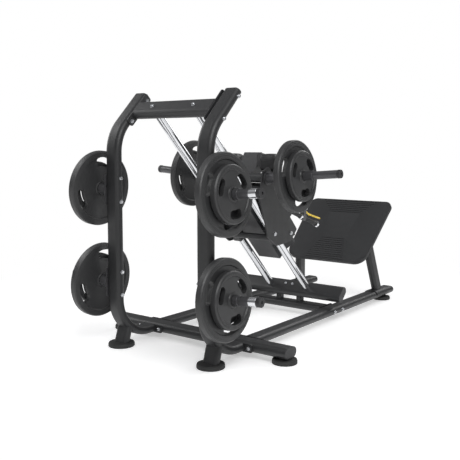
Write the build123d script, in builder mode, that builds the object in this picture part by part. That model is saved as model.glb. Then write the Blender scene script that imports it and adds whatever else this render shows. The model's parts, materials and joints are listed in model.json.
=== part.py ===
from build123d import *
from math import sqrt, radians, degrees, tan, cos, sin
import os

# Plate-loaded leg press with a carriage that rides on two chrome tubes sloping at 45 degrees.
# +Z is up, +Y runs forward from the uprights to the foot plate, and the machine is symmetric
# about X = 0. Everything is drawn with Y = 0 at the uprights and moved by middle_y at the end,
# so that the origin is the bottom centre of the whole machine. Lengths are in millimetres.

# ---- frame tubes: flat ovals
tube_wide = 105.0
tube_thin = 52.0
beam_wide = 120.0
beam_thin = 60.0
tube_wall = 3.0
cap_thick = 5.0

# ---- uprights
upright_x = 349.0
upright_end_z = 62.0
lower_bend_radius = 235.0
upper_bend_z = 1170.0
upper_bend_radius = 245.0
slant_length = 240.0

# ---- guide tubes, which slope down and forward
rod_x = 154.5
rod_radius = 26.0
rod_start_y = 202.0
rod_start_z = 1368.0
rod_length = 1650.0
rod_clearance = 0.3

# ---- base
base_z = 64.0
cross_y = 350.0
cross_half = 665.0
flange_thick = 8.0
rail_end_y = 2300.0
lower_cross_y = 1395.0
lower_cross_half = 289.0
rod_beam_half = 428.0

# ---- feet: place, pad diameter
foot_thick = 24.0
rear_foot_y = 38.0
rear_foot_d = 160.0
side_foot_x = 629.0
side_foot_d = 145.0
front_foot_y = 2190.0
front_foot_d = 135.0

# ---- foot plate
foot_low_y = 1863.0
foot_low_z = 328.0
foot_high_y = 2327.0
foot_high_z = 764.0
foot_low_half = 343.0
foot_high_half = 372.0
foot_plate_thick = 28.0
foot_low_corner = 95.0
foot_high_corner = 60.0
carrier_thick = 8.0

# ---- storage horns and weight plates
horn_tilt = 4.4
horn_radius = 25.0
horn_zs = (402.0, 960.0)
horn_plate_x = 499.0
horn_end_x = 716.0
large_d = 450.0
large_thick = 42.0
small_d = 315.0
small_thick = 40.0
plate_bore_gap = 1.6
grip_turns = (37.0, 157.0, 277.0)
collar_radius = 28.0
storage_sleeve_x = 642.0
storage_cap_x = 690.0

# ---- carriage, placed along the guide tubes (s) and above them (n)
side_plate_x = 200.0
side_plate_thick = 10.0
press_horn_y = 801.0
press_horn_z = 1024.0
press_plate_x = 432.0
press_horn_end_x = 727.0

q = sqrt(0.5)


def rod_point(x, s, n):
    """A point x across, s down the slope of the guide tubes and n above their axes."""
    return Vector(x, rod_start_y + q * (s + n), rod_start_z - q * (s - n))


def side_plane(x):
    """Sketch plane across X whose axes are s (down the guide tubes) and n (above them)."""
    return Plane(origin=rod_point(x, 0, 0), x_dir=(0, q, -q), z_dir=(1, 0, 0))


def across_plane(s):
    """Sketch plane square to the guide tubes, with axes X and n; extrudes up the slope."""
    return Plane(origin=rod_point(0, s, 0), x_dir=(1, 0, 0), z_dir=(0, -q, q))


def horn_axis(x, y, z, side):
    """Plane on a horn's axis at x, with its normal pointing outwards along the tilted horn."""
    tilt = radians(horn_tilt)
    return Plane(origin=(side * x, y, z), x_dir=(0, 1, 0), z_dir=(side * cos(tilt), 0, sin(tilt)))


def horn_drop(x, reference_x):
    """Height of a tilted horn's axis at x, against its height at reference_x."""
    return tan(radians(horn_tilt)) * (x - reference_x)


parts = {}


def keep(name, shape):
    """Put the shape's solids under a name, beside any that share it."""
    parts.setdefault(name, []).extend(shape.solids())


def slot_ring(wide, thin):
    """Section of a flat oval tube, in the sketch that is open."""
    SlotOverall(wide, thin)
    SlotOverall(wide - 2 * tube_wall, thin - 2 * tube_wall, mode=Mode.SUBTRACT)


# ---------------------------------------------------------------- uprights
slant_q = q * slant_length
for name, side in (("left", -1), ("right", 1)):
    with BuildPart() as upright:
        with BuildLine(Plane.YZ.offset(side * upright_x)) as path:
            start = (cross_y - beam_wide / 2 - flange_thick, upright_end_z)
            run = Line(start, (lower_bend_radius, upright_end_z))
            low = JernArc(run @ 1, (-1, 0), lower_bend_radius, -90)
            rise = Line(low @ 1, (0, upper_bend_z))
            top = JernArc(rise @ 1, (0, 1), upper_bend_radius, -45)
            slant = Line(top @ 1, (top @ 1) + Vector(0, slant_q, slant_q))
        with BuildSketch(Plane(origin=path.line @ 0, x_dir=(1, 0, 0), z_dir=path.line % 0)):
            slot_ring(tube_wide, tube_thin)
        sweep(path=path.line)
    keep("upright_" + name, upright.part)
slant_start = Vector(0, upper_bend_radius * (1 - q), upper_bend_z + upper_bend_radius * q)

# ---------------------------------------------------------------- top beam and rod beam
beam_s = -(rod_start_y - slant_start.Y + slant_start.Z - rod_start_z) * q
upright_inner = upright_x - tube_wide / 2
end_plate_thick = 8.0
top_beam_half = upright_inner - end_plate_thick
with BuildPart() as top_beam:
    with BuildSketch(side_plane(-top_beam_half)):
        with Locations((beam_s, 0)):
            SlotOverall(beam_wide, beam_thin, rotation=90)
            SlotOverall(beam_wide - 2 * tube_wall, beam_thin - 2 * tube_wall, rotation=90, mode=Mode.SUBTRACT)
    extrude(amount=2 * top_beam_half)
keep("top_beam", top_beam.part)

with BuildPart() as top_ends:
    for x in (-upright_inner, top_beam_half):
        with BuildSketch(side_plane(x)):
            with Locations((beam_s, 8)):
                RectangleRounded(56, 232, 12)
        extrude(amount=end_plate_thick)
keep("top_beam_end_plates", top_ends.part)

rod_beam_s = rod_length + beam_thin / 2
with BuildPart() as rod_beam:
    with BuildSketch(side_plane(-rod_beam_half)):
        with Locations((rod_beam_s, 0)):
            SlotOverall(beam_wide, beam_thin, rotation=90)
            SlotOverall(beam_wide - 2 * tube_wall, beam_thin - 2 * tube_wall, rotation=90, mode=Mode.SUBTRACT)
    extrude(amount=2 * rod_beam_half)
keep("rod_beam", rod_beam.part)

with BuildPart() as rod_beam_caps:
    for x in (-rod_beam_half - cap_thick, rod_beam_half):
        with BuildSketch(side_plane(x)):
            with Locations((rod_beam_s, 0)):
                SlotOverall(beam_wide, beam_thin, rotation=90)
        extrude(amount=cap_thick)
    fillet(rod_beam_caps.faces().sort_by(Axis.X)[0].edges(), 3)
    fillet(rod_beam_caps.faces().sort_by(Axis.X)[-1].edges(), 3)
keep("tube_end_caps", rod_beam_caps.part)

# ---------------------------------------------------------------- guide tubes
rod_top_s = beam_s + beam_thin / 2
for name, side in (("left", -1), ("right", 1)):
    with BuildPart() as rod:
        with BuildSketch(across_plane(rod_length)):
            with Locations((side * rod_x, 0)):
                Circle(rod_radius)
                Circle(rod_radius - 5, mode=Mode.SUBTRACT)
        extrude(amount=rod_length - rod_top_s)
    keep("guide_tubes", rod.part)

# ---------------------------------------------------------------- base
with BuildPart() as cross_tube:
    with BuildSketch(Plane.YZ.offset(-cross_half)):
        with Locations((cross_y, base_z)):
            slot_ring(beam_wide, beam_thin)
    extrude(amount=2 * cross_half)
keep("rear_cross_tube", cross_tube.part)

with BuildPart() as cross_caps:
    for x in (-cross_half - cap_thick, cross_half):
        with BuildSketch(Plane.YZ.offset(x)):
            with Locations((cross_y, base_z)):
                SlotOverall(beam_wide, beam_thin)
        extrude(amount=cap_thick)
    fillet(cross_caps.faces().sort_by(Axis.X)[0].edges(), 3)
    fillet(cross_caps.faces().sort_by(Axis.X)[-1].edges(), 3)
keep("tube_end_caps", cross_caps.part)

flange_wide = 205.0
flange_tall = 50.0
flange_bolt = 80.0
cross_rear_y = cross_y - beam_wide / 2
cross_front_y = cross_y + beam_wide / 2
with BuildPart() as rear_flanges:
    for side in (-1, 1):
        with BuildSketch(Plane.XZ.offset(-cross_rear_y)):
            with Locations((side * upright_x, upright_end_z)):
                RectangleRounded(flange_wide, flange_tall, 10)
        extrude(amount=flange_thick)
keep("joint_flanges", rear_flanges.part)

with BuildPart() as rail_flanges:
    for side in (-1, 1):
        with BuildSketch(Plane.XZ.offset(-cross_front_y - flange_thick)):
            with Locations((side * upright_x, base_z)):
                RectangleRounded(flange_wide, flange_tall, 10)
        extrude(amount=flange_thick)
keep("joint_flanges", rail_flanges.part)

rail_start_y = cross_front_y + flange_thick
for name, side in (("left", -1), ("right", 1)):
    with BuildPart() as rail:
        with BuildSketch(Plane.XZ.offset(-rail_end_y)):
            with Locations((side * upright_x, base_z)):
                slot_ring(tube_wide, tube_thin)
        extrude(amount=rail_end_y - rail_start_y)
    keep("rails", rail.part)

with BuildPart() as rail_caps:
    for side in (-1, 1):
        with BuildSketch(Plane.XZ.offset(-rail_end_y - cap_thick)):
            with Locations((side * upright_x, base_z)):
                SlotOverall(tube_wide, tube_thin)
        extrude(amount=cap_thick)
    fillet(rail_caps.faces().sort_by(Axis.Y)[-2:].edges(), 3)
keep("tube_end_caps", rail_caps.part)

with BuildPart() as lower_cross:
    with BuildSketch(Plane.YZ.offset(-lower_cross_half)):
        with Locations((lower_cross_y, base_z)):
            slot_ring(tube_wide, tube_thin)
    extrude(amount=2 * lower_cross_half)
keep("lower_cross_tube", lower_cross.part)

lower_end_thick = upright_inner - lower_cross_half
with BuildPart() as lower_ends:
    for x in (-upright_inner, lower_cross_half):
        with BuildSketch(Plane.YZ.offset(x)):
            with Locations((lower_cross_y, base_z)):
                RectangleRounded(180, 48, 10)
        extrude(amount=lower_end_thick)
keep("lower_cross_end_plates", lower_ends.part)

post_x = 86.0
base_top_z = base_z + tube_thin / 2
with BuildPart() as posts:
    with BuildSketch(Plane.XY.offset(base_top_z)):
        with Locations((-post_x, lower_cross_y - 2), (post_x, lower_cross_y - 2)):
            RectangleRounded(40, 46, 6)
    extrude(amount=85)
    with BuildSketch(side_plane(-rod_beam_half)):
        with Locations((rod_beam_s, 0)):
            SlotOverall(beam_wide, beam_thin, rotation=90)
    extrude(amount=2 * rod_beam_half, mode=Mode.SUBTRACT)
keep("rod_beam_posts", posts.part)

# ---------------------------------------------------------------- feet and stub legs
stub_lean = Vector(0, 75 - 42, 125 - foot_thick)
with BuildPart() as bend_solid:
    for side in (-1, 1):
        with BuildLine(Plane.YZ.offset(side * upright_x)) as bend_path:
            foot_run = Line((cross_rear_y - flange_thick, upright_end_z), (lower_bend_radius, upright_end_z))
            foot_bend = JernArc(foot_run @ 1, (-1, 0), lower_bend_radius, -90)
        with BuildSketch(Plane(origin=bend_path.line @ 0, x_dir=(1, 0, 0), z_dir=bend_path.line % 0)):
            SlotOverall(tube_wide, tube_thin)
        sweep(path=bend_path.line)

with BuildPart() as stub_legs:
    for side in (-1, 1):
        with BuildSketch(Plane(origin=(side * upright_x, 42, foot_thick))):
            SlotOverall(tube_wide, tube_thin)
        extrude(amount=stub_lean.length, dir=stub_lean.normalized())
    add(bend_solid.part, mode=Mode.SUBTRACT)
keep("rear_stub_legs", stub_legs.part)


def foot_pair(x, y, diameter):
    """Two round rubber pads with a bevelled top edge and a shallow groove round the rim."""
    with BuildPart() as pads:
        for side in (-1, 1):
            with BuildSketch(Plane(origin=(side * x, y, 0), x_dir=(1, 0, 0), z_dir=(0, -1, 0))):
                with BuildLine():
                    radius = diameter / 2
                    Polyline((0, 0), (radius - 2, 0), (radius, 2), (radius, 15), (radius - 3, foot_thick),
                             (0, foot_thick), close=True)
                make_face()
            revolve(axis=Axis((side * x, y, 0), (0, 0, 1)))
    return pads.part


keep("foot_pads", foot_pair(upright_x, rear_foot_y, rear_foot_d))
keep("foot_pads", foot_pair(side_foot_x, cross_y, side_foot_d))
keep("foot_pads", foot_pair(upright_x, front_foot_y, front_foot_d))

with BuildPart() as foot_spacers:
    with BuildSketch(Plane.XY.offset(foot_thick)):
        with Locations((-side_foot_x, cross_y), (side_foot_x, cross_y)):
            Circle(34)
    extrude(amount=base_z - beam_thin / 2 - foot_thick)
    with BuildSketch(Plane.XY.offset(foot_thick)):
        with Locations((-upright_x, front_foot_y), (upright_x, front_foot_y)):
            Circle(24)
    extrude(amount=base_z - tube_thin / 2 - foot_thick)
keep("foot_spacers", foot_spacers.part)

# ---------------------------------------------------------------- foot plate
plate_run = Vector(0, foot_high_y - foot_low_y, foot_high_z - foot_low_z)
plate_length = plate_run.length
plate_up = plate_run.normalized()
plate_normal = Vector(0, -plate_up.Z, plate_up.Y)
plate_plane = Plane(origin=(0, foot_low_y, foot_low_z), x_dir=(1, 0, 0), z_dir=plate_normal)


def plate_corners(inset):
    """Corners of the tapered foot plate's outline, drawn in by inset."""
    return [(-foot_low_half + inset, inset), (foot_low_half - inset, inset),
            (foot_high_half - inset, plate_length - inset), (-foot_high_half + inset, plate_length - inset)]


rib_step, rib_wide = 20.0, 4.0
low_ribs, low_rib_start, low_rib_half, low_rib_taper = 11, 16.0, 168.0, 6.5
high_ribs, high_rib_start, high_rib_half, high_rib_taper = 7, 498.0, 140.0, 16.5
with BuildPart() as foot_plate:
    with BuildSketch(plate_plane.offset(-foot_plate_thick)) as outline:
        with BuildLine():
            Polyline(*plate_corners(0), close=True)
        make_face()
        fillet(outline.vertices().group_by(Axis.Y)[0], foot_low_corner)
        fillet(outline.vertices().group_by(Axis.Y)[-1], foot_high_corner)
    extrude(amount=foot_plate_thick)
    fillet(foot_plate.faces().sort_by(Axis(origin=(0, 0, 0), direction=tuple(plate_normal)))[-1].edges(), 6)
    with BuildSketch(plate_plane.offset(-4)):
        for k in range(low_ribs):
            with Locations((0, low_rib_start + rib_step * k)):
                SlotOverall(2 * (low_rib_half - low_rib_taper * k), rib_wide)
        for k in range(high_ribs):
            with Locations((0, high_rib_start + rib_step * k)):
                SlotOverall(2 * (high_rib_half + high_rib_taper * k), rib_wide)
    extrude(amount=6, mode=Mode.SUBTRACT)
keep("foot_plate", foot_plate.part)

carrier_inset = 55.0
with BuildPart() as carrier:
    with BuildSketch(plate_plane.offset(-foot_plate_thick - carrier_thick)) as carrier_outline:
        with BuildLine():
            Polyline(*plate_corners(carrier_inset), close=True)
        make_face()
        fillet(carrier_outline.vertices(), foot_high_corner / 2)
    extrude(amount=carrier_thick)
keep("foot_plate_carrier", carrier.part)

saddle_wall = 6.0
leg_low = Vector(upright_x, 2102, base_top_z + saddle_wall)
leg_high = Vector(301, 2022, 470)
carrier_back = plate_plane.offset(-foot_plate_thick - carrier_thick)
for name, side in (("left", -1), ("right", 1)):
    low = Vector(side * leg_low.X, leg_low.Y, leg_low.Z)
    lean = Vector(side * leg_high.X, leg_high.Y, leg_high.Z) - low
    with BuildPart() as leg:
        with BuildSketch(Plane(origin=low, x_dir=(0, 1, 0), z_dir=(0, 0, 1))):
            slot_ring(tube_wide, tube_thin)
        extrude(amount=lean.length * 1.3, dir=lean.normalized())
        split(bisect_by=carrier_back, keep=Keep.BOTTOM)
    keep("foot_plate_legs", leg.part)

with BuildPart() as saddles:
    for side in (-1, 1):
        with BuildSketch(Plane.XZ.offset(-leg_low.Y - 95)):
            with Locations((side * upright_x, base_z)):
                SlotOverall(tube_wide + 2 * saddle_wall, tube_thin + 2 * saddle_wall)
                SlotOverall(tube_wide, tube_thin, mode=Mode.SUBTRACT)
            with Locations((side * upright_x, base_z - tube_thin)):
                Rectangle(2 * tube_wide, 2 * tube_thin, mode=Mode.SUBTRACT)
        extrude(amount=190)
keep("leg_saddles", saddles.part)

# ---------------------------------------------------------------- storage horns
hub_end_x = horn_plate_x - large_thick
root_plate_x = upright_x + tube_wide / 2
root_plate_thick = 8.0


def ring_piece(outer, inner, start, end, reference_x, y, z, side, edge=1.0):
    """Ring on a tilted horn's axis, with its outer edges broken."""
    drop = horn_drop(start, reference_x)
    with BuildPart() as piece:
        with BuildSketch(horn_axis(start, y, z + drop, side)):
            Circle(outer)
            Circle(inner, mode=Mode.SUBTRACT)
        extrude(amount=(end - start) / cos(radians(horn_tilt)))
        outer_edges = piece.edges().filter_by(GeomType.CIRCLE).sort_by(SortBy.RADIUS)[-2:]
        chamfer(outer_edges, edge)
    return piece.part


def cap_piece(radius, start, end, reference_x, y, z, side):
    """Horn end cap with a rounded nose and a six-sided socket."""
    drop = horn_drop(start, reference_x)
    length = (end - start) / cos(radians(horn_tilt))
    with BuildPart() as piece:
        nose = horn_axis(start, y, z + drop, side)
        with BuildSketch(nose):
            Circle(radius)
        extrude(amount=length)
        fillet(piece.edges().filter_by(GeomType.CIRCLE).sort_by(Axis.X)[-1 if side > 0 else 0], 3)
        with BuildSketch(nose.offset(length)):
            RegularPolygon(9, 6)
        extrude(amount=-6, mode=Mode.SUBTRACT)
    return piece.part


plate_gap = 1.0
small_end_x = horn_plate_x + plate_gap + small_thick
horns, sleeves, caps, collars = [], [], [], []
for side in (-1, 1):
    for z in horn_zs:
        hub_z = z + horn_drop(root_plate_x, horn_plate_x)
        with BuildPart() as horn:
            with BuildSketch(Plane.YZ.offset(side * root_plate_x)):
                with Locations((0, hub_z)):
                    RectangleRounded(tube_thin, 176, 12)
            extrude(amount=side * root_plate_thick)
            with BuildSketch(horn_axis(root_plate_x + 4, 0, z + horn_drop(root_plate_x + 4,
                                                                          horn_plate_x), side)):
                Circle(horn_radius + 11)
            extrude(amount=(hub_end_x - root_plate_x - 4 - 3.5) / cos(radians(horn_tilt)))
            with BuildSketch(horn_axis(root_plate_x + 4, 0, z + horn_drop(root_plate_x + 4,
                                                                          horn_plate_x), side)):
                Circle(horn_radius)
            extrude(amount=(storage_cap_x - root_plate_x - 4) / cos(radians(horn_tilt)))
        horns.append(horn.part)
        collars.append(ring_piece(collar_radius + 3, horn_radius, small_end_x + 4, small_end_x + 34,
                                  horn_plate_x, 0, z, side))
        sleeves.append(ring_piece(horn_radius + 1.2, horn_radius, storage_sleeve_x, storage_cap_x - 0.2,
                                  horn_plate_x, 0, z, side, 0.5))
        caps.append(cap_piece(horn_radius + 1.2, storage_cap_x, horn_end_x, horn_plate_x, 0, z, side))
keep("storage_horns", Compound(horns))
keep("storage_collars", Compound(collars))
keep("storage_chrome_sleeves", Compound(sleeves))
keep("storage_end_caps", Compound(caps))


def weight_plate(diameter, thick, grip_at, grip_long, grip_wide):
    """Rubber-coated disc with three kidney-shaped grips, a raised rim and a raised hub."""
    radius = diameter / 2
    rim = radius * 0.17
    with BuildPart() as disc:
        with BuildSketch(Plane.XZ):
            with BuildLine():
                bore = horn_radius + plate_bore_gap
                step = thick * 0.16
                Polyline((bore, 2), (bore + 2, 0), (bore + 14, 0), (bore + 18, step), (radius - rim - 5,
                                                                                       step),
                         (radius - rim, 0), (radius - 6, 0), (radius, 6), (radius, thick - 6),
                         (radius - 6, thick), (radius - rim, thick), (radius - rim - 5, thick - step),
                         (bore + 18, thick - step), (bore + 14, thick), (bore + 2, thick), (bore, thick - 2),
                         close=True)
            make_face()
        revolve(axis=Axis.Z)
        half_turn = degrees((grip_long - grip_wide) / 2 / grip_at)
        for turn in grip_turns:
            with BuildSketch(Plane.XY):
                with BuildLine():
                    CenterArc((0, 0), grip_at, turn - half_turn, 2 * half_turn)
                    offset(amount=grip_wide / 2)
                make_face()
            extrude(amount=thick, mode=Mode.SUBTRACT)
    return disc.part


large_plate = weight_plate(large_d, large_thick, 160, 128, 56)
small_plate = weight_plate(small_d, small_thick, 106, 96, 46)


def hang(shape, x, reference_x, y, z, side):
    """Place a plate on a tilted horn with its inner face at x."""
    return horn_axis(x, y, z + horn_drop(x, reference_x), side).location * shape


large_stored = [hang(large_plate, hub_end_x, horn_plate_x, 0, z, side) for side in (-1, 1) for z in horn_zs]
small_stored = [hang(small_plate, horn_plate_x + plate_gap, horn_plate_x, 0, z, side)
                for side in (-1, 1) for z in horn_zs]
keep("stored_large_plates", Compound(large_stored))
keep("stored_small_plates", Compound(small_stored))

# ---------------------------------------------------------------- carriage: side plates and bearings
side_outline = [(612, 165), (640, 120), (716, 14), (880, -54), (952, -94), (1076, -69), (1148, 13),
                (1187, 62), (1188, 167), (797, 172), (700, 225), (640, 232)]
side_inner = side_plate_x - side_plate_thick
side_bolts = ((1002, -29), (1148, 99))
for name, x in (("left", -side_plate_x), ("right", side_inner)):
    with BuildPart() as side_plate:
        with BuildSketch(side_plane(x)) as side_sketch:
            with BuildLine():
                Polyline(*side_outline, close=True)
            make_face()
            fillet(side_sketch.vertices(), 12)
        extrude(amount=side_plate_thick)
    keep("carriage_sides", side_plate.part)

bore_radius = rod_radius + rod_clearance
housing_inner = rod_x - 36.0
with BuildPart() as housings:
    for side in (-1, 1):
        with BuildSketch(across_plane(1110)):
            with Locations((side * (housing_inner + side_inner) / 2, 0)):
                RectangleRounded(side_inner - housing_inner, 76, 10)
            with Locations((side * rod_x, 0)):
                Circle(bore_radius + 5, mode=Mode.SUBTRACT)
        extrude(amount=150)
keep("bearing_housings", housings.part)

with BuildPart() as bushes:
    for side in (-1, 1):
        with BuildSketch(across_plane(1116)):
            with Locations((side * rod_x, 0)):
                Circle(bore_radius + 5)
                Circle(bore_radius, mode=Mode.SUBTRACT)
        extrude(amount=162)
keep("bearing_bushes", bushes.part)

# ---------------------------------------------------------------- carriage: cross members and horns
cross_bar_z = press_horn_z + horn_drop(side_plate_x, press_plate_x)
bar_radius = 30.0
with BuildPart() as horn_bar:
    with BuildSketch(Plane.YZ.offset(-side_inner)):
        with Locations((press_horn_y, cross_bar_z)):
            Circle(bar_radius)
            Circle(bar_radius - tube_wall, mode=Mode.SUBTRACT)
    extrude(amount=2 * side_inner)
keep("horn_cross_bar", horn_bar.part)

with BuildPart() as lower_bar:
    with BuildSketch(side_plane(-side_inner)):
        with Locations((1002, -62)):
            Circle(20)
            Circle(20 - tube_wall, mode=Mode.SUBTRACT)
    extrude(amount=2 * side_inner)
keep("carriage_lower_bar", lower_bar.part)

press_hub_x = press_plate_x - large_thick
press_horns, press_collars, press_caps = [], [], []
for side in (-1, 1):
    with BuildPart() as horn:
        with BuildSketch(Plane.YZ.offset(side * side_plate_x)):
            with Locations((press_horn_y, press_horn_z + horn_drop(side_plate_x, press_plate_x))):
                Circle(44)
        extrude(amount=side * root_plate_thick)
        root_x = side_plate_x + root_plate_thick / 2
        with BuildSketch(horn_axis(root_x, press_horn_y, press_horn_z + horn_drop(root_x, press_plate_x),
                                   side)):
            Circle(horn_radius + 8)
        extrude(amount=(press_hub_x - root_x - 4) / cos(radians(horn_tilt)))
        with BuildSketch(horn_axis(root_x, press_horn_y, press_horn_z + horn_drop(root_x, press_plate_x),
                                   side)):
            Circle(horn_radius)
        extrude(amount=(press_horn_end_x - 20 - root_x) / cos(radians(horn_tilt)))
    press_horns.append(horn.part)
    small_out = press_plate_x + plate_gap + small_thick
    press_collars.append(ring_piece(collar_radius + 2, horn_radius, small_out + 4, small_out + 66,
                                    press_plate_x, press_horn_y, press_horn_z, side))
    press_caps.append(cap_piece(horn_radius + 1.2, press_horn_end_x - 20, press_horn_end_x,
                                press_plate_x, press_horn_y, press_horn_z, side))
keep("press_horns", Compound(press_horns))
keep("press_collars", Compound(press_collars))
keep("press_end_caps", Compound(press_caps))
keep("press_large_plates", Compound([hang(large_plate, press_hub_x, press_plate_x, press_horn_y,
                                          press_horn_z, side)
                                     for side in (-1, 1)]))
keep("press_small_plates", Compound([hang(small_plate, press_plate_x + plate_gap, press_plate_x, press_horn_y,
                                          press_horn_z, side) for side in (-1, 1)]))


# ---------------------------------------------------------------- carriage: back rest
shell_wall = 5.0
shell_top_n = 128.0
shell_start, shell_end_low, shell_end_high = 715.0, 1311.0, 1273.0
shell_outer = ((-88, -6), (88, -6), (112, 60), (165, 110), (165, 128), (-165, 128), (-165, 110), (-112, 60))
shell_inner = ((-84, 0), (84, 0), (107, 63), (159, 113), (159, 123), (-159, 123), (-159, 113), (-107, 63))
end_cut = Plane(origin=rod_point(0, shell_end_low, -6), x_dir=(1, 0, 0),
                z_dir=(rod_point(0, 122, 38) - rod_point(0, 0, 0)).normalized())
with BuildPart() as back_shell:
    with BuildSketch(across_plane(shell_end_low + 10)):
        Polygon(*shell_outer, align=None)
    extrude(amount=shell_end_low + 10 - shell_start)
    split(bisect_by=end_cut, keep=Keep.BOTTOM)
    with BuildSketch(across_plane(shell_end_high - 12)):
        Polygon(*shell_inner, align=None)
    extrude(amount=shell_end_high - 12 - shell_start - shell_wall, mode=Mode.SUBTRACT)
keep("back_shell", back_shell.part)

with BuildPart() as shell_spacers:
    for side in (-1, 1):
        for s in (820, 1120):
            with BuildSketch(across_plane(s)):
                with Locations((side * (165 + side_inner) / 2, 119)):
                    Rectangle(side_inner - 165, 18)
            extrude(amount=40)
keep("shell_spacers", shell_spacers.part)

pad_start, pad_end, pad_half, pad_thick = 725.0, 1262.0, 160.0, 67.0
with BuildPart() as back_pad:
    with BuildSketch(across_plane(pad_end)):
        with Locations((0, shell_top_n + pad_thick / 2)):
            Rectangle(2 * pad_half, pad_thick)
    extrude(amount=pad_end - pad_start)
    fillet(back_pad.edges().filter_by(Axis(origin=(0, 0, 0), direction=(0, -q, q))), 18)
keep("back_pad", back_pad.part)

# ---------------------------------------------------------------- carriage: head shell and shoulder rests
head_top_z = 1168.0
head_half = 52.0
with BuildPart() as head_shell:
    with BuildSketch(Plane.YZ.offset(-74)):
        Polygon((897, head_top_z), (952, head_top_z), (965, 1080), (930, 1000), (872, 1000), (836, 1024),
                align=None)
    extrude(amount=148)
    for side in (-1, 1):
        with BuildSketch(Plane.XZ.offset(-1100)):
            Polygon((side * head_half, head_top_z), (side * 100, head_top_z), (side * 100, 1080),
                    (side * 72, 1080), align=None)
        extrude(amount=400, mode=Mode.SUBTRACT)
        with BuildSketch(Plane.XZ.offset(-1100)):
            Polygon((side * 72, 1080), (side * 100, 1080), (side * 100, 990), (side * 30, 990), align=None)
        extrude(amount=400, mode=Mode.SUBTRACT)
keep("head_shell", head_shell.part)

with BuildPart() as head_pad:
    with BuildSketch(Plane.YZ.offset(-60)):
        Polygon((953, 1160), (1003, 1150), (1012, 1084), (966, 1082), align=None)
    extrude(amount=120)
    add(head_shell.part, mode=Mode.SUBTRACT)
keep("head_pad", head_pad.part)

shoulder_x, shoulder_half = 150.0, 65.0
shoulder_mid_y = 910.0
shoulder_z = (1050.0, 1160.0)
with BuildPart() as shoulder_mounts:
    for side in (-1, 1):
        with BuildSketch(Plane.YZ.offset(side * shoulder_x - 6)):
            Polygon((press_horn_y, cross_bar_z), (press_horn_y + 4, cross_bar_z + 30), (862, 1042), (950,
                                                                                                     1042),
                    (950, 1030), (press_horn_y + 20, cross_bar_z - 22), align=None)
        extrude(amount=12)
        with BuildSketch(Plane(origin=(side * shoulder_x, shoulder_mid_y, 1042))):
            RectangleRounded(106, 84, 10)
        extrude(amount=shoulder_z[0] - 1042)
    with BuildSketch(Plane.YZ.offset(-side_inner)):
        with Locations((press_horn_y, cross_bar_z)):
            Circle(bar_radius)
    extrude(amount=2 * side_inner, mode=Mode.SUBTRACT)
keep("shoulder_mounts", shoulder_mounts.part)

for name, side in (("left", -1), ("right", 1)):
    with BuildPart() as shoulder_pad:
        with BuildSketch(Plane(origin=(side * (shoulder_x + 3), shoulder_mid_y, shoulder_z[0]))):
            RectangleRounded(2 * shoulder_half - 2, 100, 22)
        extrude(amount=shoulder_z[1] - shoulder_z[0])
    keep("shoulder_pads", shoulder_pad.part)

with BuildPart() as head_bracket:
    with BuildSketch(Plane.YZ.offset(-25)):
        Polygon((press_horn_y, cross_bar_z - 20), (press_horn_y, cross_bar_z + 22), (836, 1024), (872, 1000),
                (880, 985), align=None)
    extrude(amount=50)
    with BuildSketch(Plane.YZ.offset(-side_inner)):
        with Locations((press_horn_y, cross_bar_z)):
            Circle(bar_radius)
    extrude(amount=2 * side_inner, mode=Mode.SUBTRACT)
    with BuildSketch(across_plane(pad_end)):
        with Locations((0, 150)):
            Rectangle(2 * pad_half, 95)
    extrude(amount=pad_end - pad_start, mode=Mode.SUBTRACT)
keep("head_bracket", head_bracket.part.solids().sort_by(SortBy.VOLUME)[-1])

# ---------------------------------------------------------------- carriage: handles and release levers
handle_x = 170.0
grip_radius = 14.5
handle_root = Vector(handle_x, 1072, 787)
handle_end = Vector(handle_x, 1474, 648)
handle_run = (handle_end - handle_root).normalized()


def along_handle(distance, side):
    point = handle_root + handle_run * distance
    return Plane(origin=(side * point.X, point.Y, point.Z), x_dir=(1, 0, 0),
                 z_dir=(0, handle_run.Y, handle_run.Z))


def handle_cylinder(radius, start, end, side, bore=0.0):
    with BuildPart() as piece:
        with BuildSketch(along_handle(start, side)):
            Circle(radius)
            if bore:
                Circle(bore, mode=Mode.SUBTRACT)
        extrude(amount=end - start)
    return piece.part


handle_length = (handle_end - handle_root).length
core_radius = 10.0
collar_at = 190.0
keep("handle_bars", Compound([handle_cylinder(core_radius, 0, handle_length - 12, side) for side in (-1, 1)]))
keep("rear_grips", Compound([handle_cylinder(grip_radius, 52, collar_at - 10, side, core_radius)
                             for side in (-1, 1)]))
keep("grip_collars", Compound([handle_cylinder(18, collar_at - 10, collar_at + 14, side, core_radius)
                               for side in (-1, 1)]))
keep("front_grips", Compound([handle_cylinder(grip_radius, collar_at + 54, handle_length - 26, side,
                                              core_radius)
                              for side in (-1, 1)]))
end_caps = []
for side in (-1, 1):
    with BuildPart() as end_cap:
        with BuildSketch(along_handle(handle_length - 26, side)):
            Circle(22.5)
        extrude(amount=30)
        chamfer(end_cap.edges().group_by(Axis(origin=(0, 0, 0), direction=tuple(handle_run)))[-1], 7)
        with BuildSketch(along_handle(handle_length - 26, side)):
            Circle(core_radius)
        extrude(amount=14, mode=Mode.SUBTRACT)
    end_caps.append(end_cap.part)
keep("handle_end_caps", Compound(end_caps))

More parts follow.
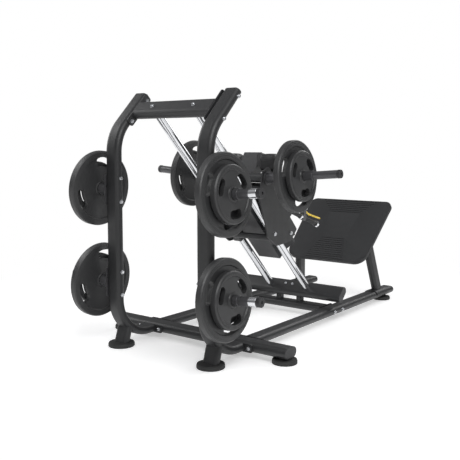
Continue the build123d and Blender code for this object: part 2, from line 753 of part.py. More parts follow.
brackets = []
for side in (-1, 1):
    with BuildPart() as bracket:
        with BuildSketch(side_plane(side * (side_inner - 8))):
            Polygon((985, 100), (1060, 100), (1074, 180), (1082, 236), (1010, 212), align=None)
        extrude(amount=side * 8)
        with BuildSketch(along_handle(8, side)):
            with Locations((side * 3, 0)):
                RectangleRounded(34, 28, 5)
        extrude(amount=38)
        with BuildSketch(along_handle(0, side)):
            Circle(core_radius)
        extrude(amount=60, mode=Mode.SUBTRACT)
        with BuildSketch(along_handle(48, side)):
            Circle(grip_radius + 1)
        extrude(amount=90, mode=Mode.SUBTRACT)
    brackets.append(bracket.part)
keep("handle_brackets", Compound(brackets))

pivot_radius = 4.0
lever_radius = 7.0
lever_hub_half = 7.6
lever_line = (Vector(0, 1288, 762), Vector(0, 1363, 728), Vector(0, 1512, 688))
pivot_at = collar_at + 24
pivot_up = 53.0
pivot_point = handle_root + handle_run * pivot_at + Vector(0, -handle_run.Z, handle_run.Y) * pivot_up
clamps, pins = [], []
for side in (-1, 1):
    with BuildPart() as clamp:
        with BuildSketch(along_handle(collar_at + 14, side)):
            RectangleRounded(36, 36, 8)
            Circle(core_radius, mode=Mode.SUBTRACT)
        extrude(amount=40)
        for cheek in (-1, 1):
            with BuildSketch(along_handle(collar_at + 14, side)):
                with Locations((cheek * 12, -40)):
                    Rectangle(8, 48)
            extrude(amount=28)
        with BuildSketch(Plane.YZ.offset(side * handle_x - 30)):
            with Locations((pivot_point.Y, pivot_point.Z)):
                Circle(pivot_radius)
        extrude(amount=60, mode=Mode.SUBTRACT)
    clamps.append(clamp.part)
    with BuildPart() as pin:
        with BuildSketch(Plane.YZ.offset(side * handle_x - 18)):
            with Locations((pivot_point.Y, pivot_point.Z)):
                Circle(pivot_radius)
        extrude(amount=36)
    pins.append(pin.part)
keep("lever_clamps", Compound(clamps))
keep("lever_pins", Compound(pins))

for name, side in (("left", -1), ("right", 1)):
    with BuildPart() as lever:
        with BuildLine():
            FilletPolyline(*[Vector(side * handle_x, point.Y, point.Z) for point in
                             (pivot_point, lever_line[1], lever_line[2])], radius=60)
        with BuildSketch(Plane(origin=(side * handle_x, pivot_point.Y, pivot_point.Z),
                               z_dir=Vector(0, lever_line[1].Y - pivot_point.Y,
                                            lever_line[1].Z - pivot_point.Z))):
            Circle(lever_radius)
        sweep()
        with BuildSketch(Plane.YZ.offset(side * handle_x - lever_hub_half)):
            with Locations((pivot_point.Y, pivot_point.Z)):
                Circle(10)
        extrude(amount=2 * lever_hub_half)
        with BuildSketch(Plane.YZ.offset(side * handle_x - 30)):
            with Locations((pivot_point.Y, pivot_point.Z)):
                Circle(pivot_radius + 0.05)
        extrude(amount=60, mode=Mode.SUBTRACT)
    keep("release_lever_" + name, lever.part)

# ---------------------------------------------------------------- fasteners


def bolt_head(point, out, radius, tall, round_head=True):
    """A washer and a head standing on a face, with a hexagon socket when the head is round."""
    with BuildPart() as head:
        with BuildSketch(Plane(origin=point, z_dir=out)):
            Circle(radius * 1.3)
        extrude(amount=2)
        with BuildSketch(Plane(origin=Vector(*point) + Vector(*out) * 2, z_dir=out)):
            if round_head:
                Circle(radius)
            else:
                RegularPolygon(radius * 1.08, 6)
        extrude(amount=tall)
        top = head.faces().sort_by(Axis(origin=(0, 0, 0), direction=out))[-1]
        chamfer(top.edges(), radius * 0.18)
        if round_head:
            with BuildSketch(Plane(origin=Vector(*point) + Vector(*out) * (2 + tall), z_dir=out)):
                RegularPolygon(radius * 0.5, 6)
            extrude(amount=-tall * 0.6, mode=Mode.SUBTRACT)
    return head.part


upright_side_x = upright_x + tube_wide / 2
upright_inner_x = upright_x - tube_wide / 2
top_bolts_at = ((221, 1483), (91, 1357))
root_bolts_at = [hub + horn_drop(root_plate_x, horn_plate_x) + step for hub in horn_zs
                 for step in (-69.5, 69.5)]
rail_bolts_at = (1341, 1450)
keep("frame_bolts", Compound([bolt_head((side * upright_side_x, y, z), (side, 0, 0), 9, 8)
                                    for side in (-1, 1) for y, z in top_bolts_at]))
keep("frame_nuts", Compound([bolt_head((side * top_beam_half, y, z), (-side, 0, 0), 9, 9, False)
                                   for side in (-1, 1) for y, z in top_bolts_at]))
keep("frame_bolts", Compound([bolt_head((side * (root_plate_x + root_plate_thick), 0, z), (side, 0, 0), 9, 8)
                                     for side in (-1, 1) for z in root_bolts_at]))
keep("frame_nuts", Compound([bolt_head((side * upright_inner_x, 0, z), (-side, 0, 0), 9, 9, False)
                                    for side in (-1, 1) for z in root_bolts_at]))
flange_xs = [side * upright_x + step for side in (-1, 1) for step in (-flange_bolt, flange_bolt)]
keep("frame_bolts", Compound([bolt_head((x, cross_rear_y - flange_thick, upright_end_z), (0, -1, 0), 9, 8)
                               for x in flange_xs]))
keep("frame_nuts", Compound([bolt_head((x, cross_front_y + flange_thick, upright_end_z), (0, 1, 0), 9, 9,
                                       False)
                              for x in flange_xs]))
keep("frame_bolts", Compound([bolt_head((side * upright_side_x, y, base_z), (side, 0, 0), 9, 8)
                             for side in (-1, 1) for y in rail_bolts_at]))
keep("frame_bolts", Compound([bolt_head(tuple(rod_point(x, beam_s - beam_thin / 2, 0)), (0, -q, q), 9, 8)
                                 for x in (-157, 157)]))
keep("rod_beam_bolts", Compound([bolt_head(tuple(rod_point(x, rod_length, 14)), (0, -q, q), 7, 6)
                                 for x in (-28, 28)]))
keep("side_plate_bolts", Compound([bolt_head(tuple(rod_point(side * side_plate_x, s, n)), (side, 0, 0), 10, 7)
                                   for side in (-1, 1) for s, n in side_bolts]))

# ---------------------------------------------------------------- placing and export
middle_y = (parts["foot_plate"][0].bounding_box().max.Y - large_d / 2) / 2
for name, solids in parts.items():
    placed = Pos(0, -middle_y, 0) * (solids[0] if len(solids) == 1 else Compound(solids))
    placed.label = name
    export_step(placed, "parts/" + name + ".step")
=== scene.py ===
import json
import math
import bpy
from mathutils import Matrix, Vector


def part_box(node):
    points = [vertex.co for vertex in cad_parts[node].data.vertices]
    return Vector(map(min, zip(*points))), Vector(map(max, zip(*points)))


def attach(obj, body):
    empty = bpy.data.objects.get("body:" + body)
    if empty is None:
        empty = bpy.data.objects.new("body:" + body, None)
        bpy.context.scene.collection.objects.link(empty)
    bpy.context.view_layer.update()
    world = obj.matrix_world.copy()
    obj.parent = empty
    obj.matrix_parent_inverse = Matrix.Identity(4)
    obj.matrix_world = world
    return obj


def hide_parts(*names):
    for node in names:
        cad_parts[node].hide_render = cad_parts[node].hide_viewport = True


bl_info = {
    "name": "Leg press machine",
    "version": (1, 0, 0),
    "blender": (4, 5, 0),
    "location": "View3D > Sidebar > Leg press",
    "description": "Finishes, cushions, plate detail and studio for a plate-loaded leg press",
    "category": "Object",
}

import bmesh
import bpy
from mathutils import Matrix, Vector, noise

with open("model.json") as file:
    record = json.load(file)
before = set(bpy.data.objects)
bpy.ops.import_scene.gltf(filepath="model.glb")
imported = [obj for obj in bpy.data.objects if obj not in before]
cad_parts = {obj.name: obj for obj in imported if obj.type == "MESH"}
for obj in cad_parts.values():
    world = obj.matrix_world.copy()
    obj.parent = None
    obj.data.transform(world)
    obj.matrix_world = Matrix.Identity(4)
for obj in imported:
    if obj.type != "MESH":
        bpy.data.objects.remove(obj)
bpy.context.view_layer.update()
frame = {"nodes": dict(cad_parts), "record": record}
NODES = frame["nodes"]
SLOT_OF = {entry["node"]: entry["material_slot"] for entry in frame["record"]["subparts"]}

HALF_ROOT = math.sqrt(0.5)

# The part's own places, in metres. Along Y they are measured from the uprights, which stand
# MIDDLE_Y before the middle of the box.
MIDDLE_Y = 1.060586872
SLOPE_TOP = (0.202, 1.368)
BACK_LOW, BACK_HIGH, BACK_ABOVE = 1.262, 0.725, 0.128
BACK_WIDE, BACK_THICK = 0.320, 0.067
SHOULDER_X, SHOULDER_WIDE = 0.153, 0.126
HEAD_SIZE, HEAD_FORWARD, HEAD_TILT = (0.120, 0.074, 0.048), 0.008, math.radians(-82)
HORN_TILT = math.radians(4.4)
LARGE_RADIUS, SMALL_RADIUS = 0.225, 0.1575
STORED_HEIGHTS, STORED_FACES = (0.402, 0.960), (0.499, 0.540)
PRESS_Y, PRESS_HEIGHT, PRESS_FACES = 0.801, 1.024, (0.432, 0.473)
FOOT_PLATE_THICK = 0.028

# How a cushion is filled
EVEN_CELL = 0.005
FILLING_PRESSURE = 4.0
FILLING_FRAMES = 20
HELD_SHARE = 0.3


# ---------------------------------------------------------------- sizes and colours


class LegPressFinish(bpy.types.PropertyGroup):
    """Colours and surface of the coated and moulded parts."""

    coat_colour: bpy.props.FloatVectorProperty(
        name="Coat colour", description="Powder coat on the tubes and plates",
        default=(0.014, 0.0145, 0.0155), subtype="COLOR", min=0.0, max=1.0)
    coat_grain: bpy.props.FloatProperty(
        name="Coat grain", description="Depth of the powder coat's fine texture",
        default=0.22, min=0.0, max=1.0)
    rubber_colour: bpy.props.FloatVectorProperty(
        name="Rubber colour", description="Rubber skin of the weight plates",
        default=(0.026, 0.0265, 0.0275), subtype="COLOR", min=0.0, max=1.0)
    lever_colour: bpy.props.FloatVectorProperty(
        name="Lever colour", description="Enamel on the release levers",
        default=(0.86, 0.60, 0.03), subtype="COLOR", min=0.0, max=1.0)
    vinyl_colour: bpy.props.FloatVectorProperty(
        name="Vinyl colour", description="Cover of the back, head and shoulder cushions",
        default=(0.012, 0.012, 0.013), subtype="COLOR", min=0.0, max=1.0)


class LegPressCushions(bpy.types.PropertyGroup):
    """Shape of the cushions."""

    crown: bpy.props.FloatProperty(
        name="Crown", description="Rise of a cushion's middle above its edge",
        default=0.009, min=0.0, max=0.03, unit="LENGTH")
    waist: bpy.props.FloatProperty(
        name="Waist", description="How far the sides pull in between the corners",
        default=0.004, min=0.0, max=0.02, unit="LENGTH")
    swelling: bpy.props.FloatProperty(
        name="Swelling", description="Most that the filling may push the cover out",
        default=0.005, min=0.0, max=0.03, unit="LENGTH")
    welt: bpy.props.FloatProperty(
        name="Welt", description="Radius of the sewn welt round a cushion",
        default=0.0026, min=0.001, max=0.01, unit="LENGTH")


class LegPressStudio(bpy.types.PropertyGroup):
    """Camera and light."""

    lens: bpy.props.FloatProperty(
        name="Lens", description="Focal length of the camera", default=54.59, min=20, max=200, unit="CAMERA")
    floor_brightness: bpy.props.FloatProperty(
        name="Floor brightness", description="Glow that lifts the floor to the backdrop's white",
        default=0.42, min=0.0, max=2.0)
    floor_near: bpy.props.FloatProperty(
        name="Floor near", description="Where the floor starts to fade into the backdrop",
        default=1.4, min=0.0, unit="LENGTH")
    floor_far: bpy.props.FloatProperty(
        name="Floor far", description="Where the floor is as white as the backdrop",
        default=2.8, min=0.1, unit="LENGTH")
    sky_light: bpy.props.FloatProperty(
        name="Sky light", description="Strength of the soft light from all round",
        default=0.75, min=0.0, max=5.0)


# ---------------------------------------------------------------- finishes


def node_setter(tree):
    """A short way to add a node and join sockets in one tree."""

    def add(kind, inputs=None, **values):
        node = tree.nodes.new(kind)
        for key, value in values.items():
            setattr(node, key, value)
        for key, value in (inputs or {}).items():
            if isinstance(value, bpy.types.NodeSocket):
                tree.links.new(value, node.inputs[key])
            else:
                node.inputs[key].default_value = value
        return node

    return add


def surface(name, colour, rough, metal=0.0, grain_scale=900.0, grain=0.2, cell=False, mottle=0.12,
            rough_range=0.06, edge=0.0, edge_colour=(0.25, 0.25, 0.26), specular=0.5, coat=0.0,
            coat_rough=0.2, distance=0.0004, sheen=0.0):
    """A finish with colour mottle, a varying roughness, a fine relief and paler colour on convex edges."""
    material = bpy.data.materials.new(name)
    material.use_nodes = True
    tree = material.node_tree
    tree.nodes.clear()
    add = node_setter(tree)
    place = add("ShaderNodeTexCoord")
    at = place.outputs["Object"]
    broad = add("ShaderNodeTexNoise", {"Vector": at, "Scale": 7.0, "Detail": 5.0, "Roughness": 0.6})
    darker = tuple(channel * (1 - mottle) for channel in colour) + (1.0,)
    paler = tuple(min(1.0, channel * (1 + mottle)) for channel in colour) + (1.0,)
    tint = add("ShaderNodeMix", {"Factor": broad.outputs["Fac"]}, data_type="RGBA")
    tint.inputs[6].default_value = darker
    tint.inputs[7].default_value = paler
    shade = tint.outputs[2]
    # Paler colour on convex edges, picked out by the mesh's pointiness.
    if edge:
        geometry = add("ShaderNodeNewGeometry")
        convex_edge_mask = add("ShaderNodeMapRange", {"Value": geometry.outputs["Pointiness"], "From Min": 0.53,
                                          "From Max": 0.62, "To Min": 0.0, "To Max": edge})
        mix = add("ShaderNodeMix", {"Factor": convex_edge_mask.outputs["Result"], 6: shade}, data_type="RGBA")
        mix.inputs[7].default_value = tuple(edge_colour) + (1.0,)
        shade = mix.outputs[2]
    smudge = add("ShaderNodeTexNoise", {"Vector": at, "Scale": 22.0, "Detail": 6.0, "Roughness": 0.65})
    gloss = add("ShaderNodeMapRange", {"Value": smudge.outputs["Fac"], "From Min": 0.3, "From Max": 0.7,
                                       "To Min": max(0.02, rough - rough_range),
                                       "To Max": min(1.0, rough + rough_range)})
    if cell:
        relief = add("ShaderNodeTexVoronoi", {"Vector": at, "Scale": grain_scale, "Randomness": 1.0})
        height = relief.outputs["Distance"]
    else:
        relief = add("ShaderNodeTexNoise", {"Vector": at, "Scale": grain_scale, "Detail": 3.0,
                                            "Roughness": 0.55})
        height = relief.outputs["Fac"]
    bump = add("ShaderNodeBump", {"Height": height, "Strength": grain, "Distance": distance})
    shader = add("ShaderNodeBsdfPrincipled", {
        "Base Color": shade, "Roughness": gloss.outputs["Result"], "Metallic": metal,
        "Specular IOR Level": specular, "Coat Weight": coat, "Coat Roughness": coat_rough,
        "Sheen Weight": sheen, "Normal": bump.outputs["Normal"]})
    add("ShaderNodeOutputMaterial", {"Surface": shader.outputs["BSDF"]})
    return material


def build_finishes(finish):
    """One finish for each material slot of the record."""
    coat = tuple(finish.coat_colour)
    rubber = tuple(finish.rubber_colour)
    return {
        "frame_coat": surface("powder coat", coat, 0.46, grain_scale=1100, grain=finish.coat_grain, edge=0.10,
                              edge_colour=(0.10, 0.10, 0.105), specular=0.55),
        "foot_plate_coat": surface("foot plate coat", tuple(1.3 * c for c in coat), 0.55, grain_scale=700,
                                   grain=0.30, edge=0.12, edge_colour=(0.12, 0.12, 0.125), specular=0.45),
        "chrome": surface("polished chrome", (0.74, 0.75, 0.77), 0.12, metal=1.0, grain_scale=120, grain=0.0,
                          mottle=0.02, rough_range=0.02),
        "horn_steel": surface("horn steel", (0.10, 0.10, 0.105), 0.34, metal=0.55, grain_scale=600,
                              grain=0.08, mottle=0.2, rough_range=0.1, edge=0.15),
        "horn_collar": surface("collar steel", (0.045, 0.045, 0.048), 0.38, metal=0.3, grain_scale=700,
                               grain=0.1, edge=0.15),
        "cap_plastic": surface("cap plastic", (0.022, 0.022, 0.024), 0.5, grain_scale=1500, grain=0.1),
        "bush_plastic": surface("bush plastic", (0.05, 0.05, 0.055), 0.42, grain_scale=1200, grain=0.06),
        "foot_rubber": surface("foot rubber", (0.024, 0.024, 0.024), 0.72, grain_scale=900, grain=0.25,
                               mottle=0.2),
        "plate_rubber": surface("plate rubber", rubber, 0.44, grain_scale=1300, grain=0.16, mottle=0.10,
                                edge=0.10, edge_colour=(0.12, 0.12, 0.12), specular=0.5),
        "fastener_steel": surface("zinc steel", (0.62, 0.63, 0.65), 0.26, metal=1.0, grain_scale=800,
                                  grain=0.05, mottle=0.08, rough_range=0.08),
        "shell_plastic": surface("moulded shell", (0.016, 0.0165, 0.018), 0.42, grain_scale=1600, grain=0.12,
                                 cell=True, edge=0.08),
        "pad_vinyl": surface("cushion vinyl", tuple(finish.vinyl_colour), 0.48, grain_scale=420, grain=0.35,
                             cell=True, mottle=0.15, sheen=0.05, distance=0.0006),
        "grip_rubber": surface("grip rubber", (0.018, 0.018, 0.019), 0.62, grain_scale=500, grain=0.5,
                               cell=True, distance=0.0006),
        "bright_metal": surface("bright collar", (0.82, 0.83, 0.85), 0.14, metal=1.0, grain_scale=300,
                                grain=0.02, mottle=0.03, rough_range=0.04),
        "clamp_coat": surface("clamp coat", (0.03, 0.03, 0.032), 0.4, grain_scale=900, grain=0.15, edge=0.2),
        "lever_yellow": surface("lever enamel", tuple(finish.lever_colour), 0.30, grain_scale=500, grain=0.05,
                                mottle=0.05, coat=0.4, coat_rough=0.15),
    }


FINISHES = {}


def give(piece, slot_name):
    """Puts a slot's finish on a piece as its only material."""
    piece.data.materials.clear()
    piece.data.materials.append(FINISHES[slot_name])


# ---------------------------------------------------------------- meshes


def link_mesh(name, mesh, body, slot_name, smooth=True):
    """An object made from a bmesh where it stands, with its slot's finish, riding on a body."""
    data = bpy.data.meshes.new(name)
    bmesh.ops.recalc_face_normals(mesh, faces=mesh.faces)
    mesh.to_mesh(data)
    mesh.free()
    piece = bpy.data.objects.new(name, data)
    bpy.context.scene.collection.objects.link(piece)
    for face in data.polygons:
        face.use_smooth = smooth
    give(piece, slot_name)
    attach(piece, body)
    return piece


def lathe(mesh, profile, place, steps=96):
    """Turns a closed (radius, height) profile round the Z of a placing matrix."""
    rings = []
    for step in range(steps):
        turn = 2 * math.pi * step / steps
        rings.append([mesh.verts.new(place @ Vector((r * math.cos(turn), r * math.sin(turn), h)))
                      for r, h in profile])
    count = len(profile)
    for step in range(steps):
        here, there = rings[step], rings[(step + 1) % steps]
        for k in range(count):
            mesh.faces.new((here[k], here[(k + 1) % count], there[(k + 1) % count], there[k]))


def arc_bar(mesh, radius, width, height, start, end, place, steps=40):
    """A low rounded bar that follows an arc on a plate's face."""
    section = [(-width / 2, 0), (-width / 2, height * 0.6), (-width / 4, height), (width / 4, height),
               (width / 2, height * 0.6), (width / 2, 0)]
    rows = []
    for step in range(steps + 1):
        turn = start + (end - start) * step / steps
        outward = Vector((math.cos(turn), math.sin(turn), 0))
        rows.append([mesh.verts.new(place @ (outward * (radius + r) + Vector((0, 0, h))))
                     for r, h in section])
    count = len(section)
    for near, far in zip(rows, rows[1:]):
        for k in range(count):
            mesh.faces.new((near[k], near[(k + 1) % count], far[(k + 1) % count], far[k]))
    mesh.faces.new(rows[0])
    mesh.faces.new(rows[-1])


def cushion_mesh(size, crown, waist, place, cuts=26, power=7.0, seed=0.0):
    """A rounded box, crowned on top, drawn in along its sides, with a seam groove and soft puckers."""
    mesh = bmesh.new()
    bmesh.ops.create_cube(mesh, size=2.0)
    bmesh.ops.subdivide_edges(mesh, edges=mesh.edges[:], cuts=cuts, use_grid_fill=True)
    wide, long, tall = size
    for vert in mesh.verts:
        p = vert.co.copy()
        largest = max(abs(c) for c in p)
        length = sum(abs(c) ** power for c in p) ** (1 / power)
        p *= largest / length
        x, y, z = p
        side = max(abs(x), abs(y))
        pull_x, pull_y = waist * (1 - y * y) * abs(x) ** 3, waist * (1 - x * x) * abs(y) ** 3
        rise = crown * (1 - x ** 4) * (1 - y ** 4) if z > 0 else 0.0
        groove = 0.0022 * math.exp(-((z - 0.25) / 0.05) ** 2) * side ** 6
        pucker = 0.0009 * noise.noise(Vector((x * 9 + seed, y * 9, z * 2))) * side ** 4
        px = x * wide / 2 - math.copysign(pull_x + groove * abs(x), x)
        py = y * long / 2 - math.copysign(pull_y + groove * abs(y), y)
        pz = (z + 1) / 2 * (tall - crown) + rise * max(z, 0) + pucker
        vert.co = place @ Vector((px, py, max(pz, 0.0)))
    return mesh


def slope_place(x, along, above):
    """Matrix with X across, Y up the slope and Z off the slope, at a CAD point on the carriage."""
    top_y, top_z = SLOPE_TOP
    origin = Vector((x, top_y + HALF_ROOT * (along + above) - MIDDLE_Y,
                     top_z - HALF_ROOT * (along - above)))
    turn = Matrix(((1, 0, 0), (0, -HALF_ROOT, HALF_ROOT), (0, HALF_ROOT, HALF_ROOT))).to_4x4()
    return Matrix.Translation(origin) @ turn


def welt_ring(mesh, size, corner, place, radius, height, steps=9, around=8):
    """The sewn welt: a thin cord round a cushion's edge, as a closed tube."""
    wide, long = size[0] / 2 - 0.0015, size[1] / 2 - 0.0015
    path = []
    for sx, sy, start in ((1, 1, 0), (-1, 1, 90), (-1, -1, 180), (1, -1, 270)):
        for step in range(steps + 1):
            turn = math.radians(start + 90 * step / steps)
            path.append(Vector((sx * (wide - corner) + corner * math.cos(turn),
                                sy * (long - corner) + corner * math.sin(turn), height)))
    rows = []
    for k, point in enumerate(path):
        ahead = (path[(k + 1) % len(path)] - path[k - 1]).normalized()
        out = Vector((ahead.y, -ahead.x, 0))
        rows.append([mesh.verts.new(place @ (point + out * radius * math.cos(a)
                                             + Vector((0, 0, radius * math.sin(a)))))
                     for a in (2 * math.pi * j / around for j in range(around))])
    for k, here in enumerate(rows):
        there = rows[(k + 1) % len(rows)]
        for j in range(around):
            mesh.faces.new((here[j], here[(j + 1) % around], there[(j + 1) % around], there[j]))


def swell(context, piece, place, held, most):
    """Fill a cushion as cloth under pressure, its underside held, and keep the shape it takes."""
    scene = context.scene
    even = piece.modifiers.new("even mesh", "REMESH")
    even.mode = "VOXEL"
    even.voxel_size = EVEN_CELL
    even.use_smooth_shade = True
    fine = bpy.data.meshes.new_from_object(piece.evaluated_get(context.evaluated_depsgraph_get()))
    piece.modifiers.remove(even)
    piece.data = fine
    back = place.inverted()
    under = piece.vertex_groups.new(name="underside")
    under.add([vert.index for vert in fine.vertices if (back @ vert.co).z < held], 1.0, "REPLACE")
    cloth = piece.modifiers.new("filling", "CLOTH")
    cloth.settings.vertex_group_mass = under.name
    cloth.settings.use_pressure = True
    cloth.settings.uniform_pressure_force = FILLING_PRESSURE
    cloth.settings.effector_weights.gravity = 0.0
    for number in range(1, FILLING_FRAMES + 1):
        scene.frame_set(number)
    filled = piece.evaluated_get(context.evaluated_depsgraph_get()).data
    moves = [there.co - here.co for here, there in zip(fine.vertices, filled.vertices)]
    piece.modifiers.remove(cloth)
    for vert, move in zip(fine.vertices, moves):
        vert.co += move if move.length < most else move.normalized() * most
    scene.frame_set(1)


# ---------------------------------------------------------------- studio


def pale_floor(studio):
    """A pale floor that takes shadows near the machine and fades to the backdrop's white farther off."""
    pale = bpy.data.materials.new("pale floor")
    pale.use_nodes = True
    tree = pale.node_tree
    tree.nodes.clear()
    add = node_setter(tree)
    near = add("ShaderNodeBsdfPrincipled", {
        "Base Color": (0.86, 0.86, 0.86, 1), "Roughness": 0.75, "Specular IOR Level": 0.1,
        "Emission Color": (1, 1, 1, 1), "Emission Strength": studio.floor_brightness})
    where = add("ShaderNodeTexCoord")
    reach = add("ShaderNodeVectorMath", {0: where.outputs["Object"]}, operation="LENGTH")
    far = add("ShaderNodeMapRange", {"Value": reach.outputs["Value"], "From Min": studio.floor_near,
                                     "From Max": studio.floor_far}, interpolation_type="SMOOTHSTEP")
    glow = add("ShaderNodeEmission", {"Color": (1, 1, 1, 1), "Strength": 1.0})
    spread = add("ShaderNodeMixShader", {0: far.outputs["Result"], 1: near.outputs["BSDF"],
                                         2: glow.outputs["Emission"]})
    add("ShaderNodeOutputMaterial", {"Surface": spread.outputs["Shader"]})
    return pale


def lay_floor(studio):
    """The floor, which isn't part of the machine."""
    mesh = bmesh.new()
    bmesh.ops.create_grid(mesh, x_segments=4, y_segments=4, size=60.0)
    data = bpy.data.meshes.new("studio_floor")
    mesh.to_mesh(data)
    mesh.free()
    data.materials.append(pale_floor(studio))
    floor = bpy.data.objects.new("studio_floor", data)
    bpy.context.scene.collection.objects.link(floor)


def soft_sky(studio):
    """A world that lights softly from above and stands as plain white behind the machine."""
    world = bpy.data.worlds.new("studio sky")
    world.use_nodes = True
    tree = world.node_tree
    tree.nodes.clear()
    add = node_setter(tree)
    sky = add("ShaderNodeTexCoord")
    split = add("ShaderNodeSeparateXYZ", {"Vector": sky.outputs["Generated"]})
    ramp = add("ShaderNodeValToRGB", {"Fac": split.outputs["Z"]})
    low, high = ramp.color_ramp.elements
    low.position, low.color = 0.0, (0.10, 0.10, 0.10, 1)
    high.position, high.color = 0.9, (0.62, 0.62, 0.63, 1)
    seen = add("ShaderNodeLightPath")
    lit = add("ShaderNodeBackground", {"Color": ramp.outputs["Color"], "Strength": studio.sky_light})
    white = add("ShaderNodeBackground", {"Color": (1, 1, 1, 1), "Strength": 1.0})
    both = add("ShaderNodeMixShader", {0: seen.outputs["Is Camera Ray"], 1: lit.outputs["Background"],
                                       2: white.outputs["Background"]})
    add("ShaderNodeOutputWorld", {"Surface": both.outputs["Shader"]})
    return world


def hang_panel(name, place, size, power):
    """A square soft light turned to the machine's middle."""
    data = bpy.data.lights.new(name, "AREA")
    data.size = size
    data.energy = power
    panel = bpy.data.objects.new(name, data)
    panel.location = place
    panel.rotation_euler = (Vector((0, 0, 0.7)) - place).to_track_quat("-Z", "Y").to_euler()
    bpy.context.scene.collection.objects.link(panel)


def stand_camera(studio):
    """The camera, behind and to the right of the machine at chest height."""
    place, target = Vector((2.70114, -3.92835, 1.21933)), Vector((0, -0.36059, 0.8046))
    lens = bpy.data.cameras.new("camera")
    lens.lens = studio.lens
    lens.sensor_width = 36.0
    lens.shift_x, lens.shift_y = -0.0062, -0.0453
    camera = bpy.data.objects.new("camera", lens)
    camera.location = place
    camera.rotation_euler = (target - place).to_track_quat("-Z", "Y").to_euler()
    bpy.context.scene.collection.objects.link(camera)
    bpy.context.scene.camera = camera


# ---------------------------------------------------------------- operators


class LEGPRESS_OT_finishes(bpy.types.Operator):
    """Give every CAD part the finish of its slot"""

    bl_idname = "legpress.finishes"
    bl_label = "Finishes"

    def execute(self, context):
        FINISHES.update(build_finishes(context.scene.leg_press_finish))
        for name, node in NODES.items():
            give(node, SLOT_OF[name])
        return {"FINISHED"}


class LEGPRESS_OT_cushions(bpy.types.Operator):
    """Make the back, head and shoulder cushions with their welts"""

    bl_idname = "legpress.cushions"
    bl_label = "Cushions"

    def execute(self, context):
        shape = context.scene.leg_press_cushions
        shoulder_low, shoulder_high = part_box("shoulder_pads")
        head_low, head_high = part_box("head_pad")
        shoulder_size = (SHOULDER_WIDE, shoulder_high.y - shoulder_low.y, shoulder_high.z - shoulder_low.z)
        shoulder_y = (shoulder_low.y + shoulder_high.y) / 2
        head_mid = (head_low + head_high) / 2
        jobs = [("back cushion", (BACK_WIDE, BACK_LOW - BACK_HIGH, BACK_THICK),
                 slope_place(0, (BACK_LOW + BACK_HIGH) / 2, BACK_ABOVE), "back_pad")]
        for side, label in ((-1, "left"), (1, "right")):
            place = Matrix.Translation((side * SHOULDER_X, shoulder_y, shoulder_low.z))
            jobs.append(("shoulder cushion " + label, shoulder_size, place, "shoulder_pads"))
        head_place = Matrix.Translation((0, head_low.y + HEAD_FORWARD, head_mid.z))
        jobs.append(("head cushion", HEAD_SIZE, head_place @ Matrix.Rotation(HEAD_TILT, 4, "X"), "head_pad"))
        for number, (name, size, place, node) in enumerate(jobs):
            plain = name.replace(" ", "_")
            piece = link_mesh(plain, cushion_mesh(size, shape.crown, shape.waist, place, seed=number * 3.7),
                              "carriage", "pad_vinyl")
            swell(context, piece, place, size[2] * HELD_SHARE, shape.swelling)
            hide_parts(node)
            smooth = piece.modifiers.new("soft surface", "SUBSURF")
            smooth.levels = smooth.render_levels = 1
            mesh = bmesh.new()
            welt_ring(mesh, size, 0.022, place, shape.welt, (size[2] - shape.crown) * 0.62)
            welt = link_mesh(plain + "_welt", mesh, "carriage", "pad_vinyl")
        return {"FINISHED"}


class LEGPRESS_OT_plate_detail(bpy.types.Operator):
    """Add the rim bands, arc ribs and hub rings on the weight plates"""

    bl_idname = "legpress.plate_detail"
    bl_label = "Plate detail"

    def execute(self, context):
        stacks = []
        for side in (-1, 1):
            stacks += [(side, 0.0, z, STORED_FACES, "frame", "stored") for z in STORED_HEIGHTS]
            stacks.append((side, PRESS_Y, PRESS_HEIGHT, PRESS_FACES, "carriage", "press"))
        for index, (side, y, z, faces, body, kind) in enumerate(stacks):
            mesh = bmesh.new()
            for face_x, radius in zip(faces, (LARGE_RADIUS, SMALL_RADIUS)):
                height = z + math.tan(HORN_TILT) * (face_x - faces[0])
                out = Vector((side * math.cos(HORN_TILT), 0, math.sin(HORN_TILT)))
                across = Vector((0, 1, 0))
                up = out.cross(across)
                place = Matrix.Translation(Vector((side * face_x, y - MIDDLE_Y, height))) @ Matrix(
                    (across, up, out)).transposed().to_4x4()
                rim = radius * 0.83
                lathe(mesh, [(rim + 0.006, -0.002), (rim + 0.006, 0.0006), (rim + 0.008, 0.0016),
                             (rim + 0.011, 0.0006), (rim + 0.011, -0.002)], place)
                lathe(mesh, [(0.029, -0.002), (0.029, 0.0010), (0.031, 0.0022), (0.036, 0.0022),
                             (0.038, 0.0010), (0.038, -0.002)], place)
                for turn in (97.0, 217.0, 337.0):
                    arc_bar(mesh, radius * 0.92, 0.0030, 0.0016, math.radians(turn - 34),
                            math.radians(turn + 34), place)
            piece = link_mesh("plate_bands_%s_%d" % (kind, index), mesh, body, "plate_rubber")
            piece.data.set_sharp_from_angle(angle=math.radians(50))
        return {"FINISHED"}


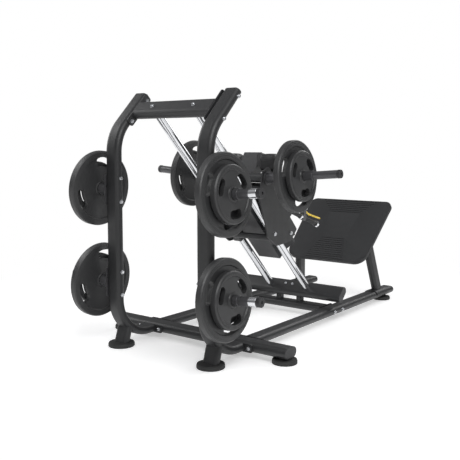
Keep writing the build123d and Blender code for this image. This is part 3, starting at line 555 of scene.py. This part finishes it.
class LEGPRESS_OT_foot_creases(bpy.types.Operator):
    """Add the raised hourglass lines and the rim line on the foot plate"""

    bl_idname = "legpress.foot_creases"
    bl_label = "Foot plate lines"

    # Each line's points on the plate, in metres: out from the middle, and up from the lower edge
    hourglass = ((0.196, 0.024), (0.136, 0.240), (0.136, 0.300), (0.164, 0.392), (0.226, 0.612))
    rim = ((0.262, 0.030), (0.308, 0.110), (0.338, 0.560))
    half_wide, proud, sunk, lap = 0.0016, 0.0009, 0.001, 0.001

    def execute(self, context):
        box_low, box_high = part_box("foot_plate")
        deep, tall = box_high.y - box_low.y, box_high.z - box_low.z
        # The box's sides are L cos a + t sin a and L sin a + t cos a, so a few rounds settle the slope
        slope = math.atan2(tall, deep)
        for _ in range(20):
            slope = math.atan2(tall - FOOT_PLATE_THICK * math.cos(slope),
                               deep - FOOT_PLATE_THICK * math.sin(slope))
        up = Vector((0, math.cos(slope), math.sin(slope)))
        out = Vector((1, 0, 0)).cross(up)
        low = Vector((0, box_low.y, box_low.z + FOOT_PLATE_THICK * math.cos(slope)))
        place = Matrix.Translation(low) @ Matrix((Vector((1, 0, 0)), up, out)).transposed().to_4x4()
        mesh = bmesh.new()
        for side in (-1, 1):
            for line in (self.hourglass, self.rim):
                points = [Vector((side * x, y, 0)) for x, y in line]
                for near, far in zip(points, points[1:]):
                    along = (far - near).normalized()
                    across = Vector((-along.y, along.x, 0)) * self.half_wide
                    section = ((-1, -self.sunk), (-0.6, self.proud), (0.6, self.proud), (1, -self.sunk))
                    ends = [[mesh.verts.new(place @ (end + across * k + Vector((0, 0, h))))
                             for k, h in section]
                            for end in (near - along * self.lap, far + along * self.lap)]
                    for k in range(4):
                        mesh.faces.new((ends[0][k], ends[0][(k + 1) % 4], ends[1][(k + 1) % 4], ends[1][k]))
                    mesh.faces.new(ends[0])
                    mesh.faces.new(ends[1])
        link_mesh("foot_plate_lines", mesh, "frame", "foot_plate_coat", smooth=False)
        return {"FINISHED"}


class LEGPRESS_OT_studio(bpy.types.Operator):
    """Set the floor, the soft lights and the camera"""

    bl_idname = "legpress.studio"
    bl_label = "Studio"

    def execute(self, context):
        studio = context.scene.leg_press_studio
        lay_floor(studio)
        context.scene.world = soft_sky(studio)
        for name, place, size, power in (("key panel", (3.2, -3.0, 4.2), 3.0, 160),
                                         ("side panel", (-4.0, -1.5, 3.0), 2.5, 70),
                                         ("front panel", (0.5, 4.5, 3.6), 3.0, 80)):
            hang_panel(name, Vector(place), size, power)
        stand_camera(studio)
        context.scene.view_settings.view_transform = "Standard"
        return {"FINISHED"}


class LEGPRESS_PT_panel(bpy.types.Panel):
    """The leg press's steps"""

    bl_idname = "LEGPRESS_PT_panel"
    bl_label = "Leg press"
    bl_space_type = "VIEW_3D"
    bl_region_type = "UI"
    bl_category = "Leg press"

    def draw(self, context):
        for operator in OPERATORS:
            self.layout.operator(operator.bl_idname)


GROUPS = (LegPressFinish, LegPressCushions, LegPressStudio)
OPERATORS = (LEGPRESS_OT_finishes, LEGPRESS_OT_cushions, LEGPRESS_OT_plate_detail,
             LEGPRESS_OT_foot_creases, LEGPRESS_OT_studio)
CLASSES = GROUPS + OPERATORS + (LEGPRESS_PT_panel,)


def register():
    for item in CLASSES:
        bpy.utils.register_class(item)
    bpy.types.Scene.leg_press_finish = bpy.props.PointerProperty(type=LegPressFinish)
    bpy.types.Scene.leg_press_cushions = bpy.props.PointerProperty(type=LegPressCushions)
    bpy.types.Scene.leg_press_studio = bpy.props.PointerProperty(type=LegPressStudio)


def unregister():
    del bpy.types.Scene.leg_press_finish
    del bpy.types.Scene.leg_press_cushions
    del bpy.types.Scene.leg_press_studio
    for item in reversed(CLASSES):
        bpy.utils.unregister_class(item)


def main():
    register()
    bpy.ops.legpress.finishes()
    bpy.ops.legpress.cushions()
    bpy.ops.legpress.plate_detail()
    bpy.ops.legpress.foot_creases()
    bpy.ops.legpress.studio()


if __name__ == "__main__":
    main()
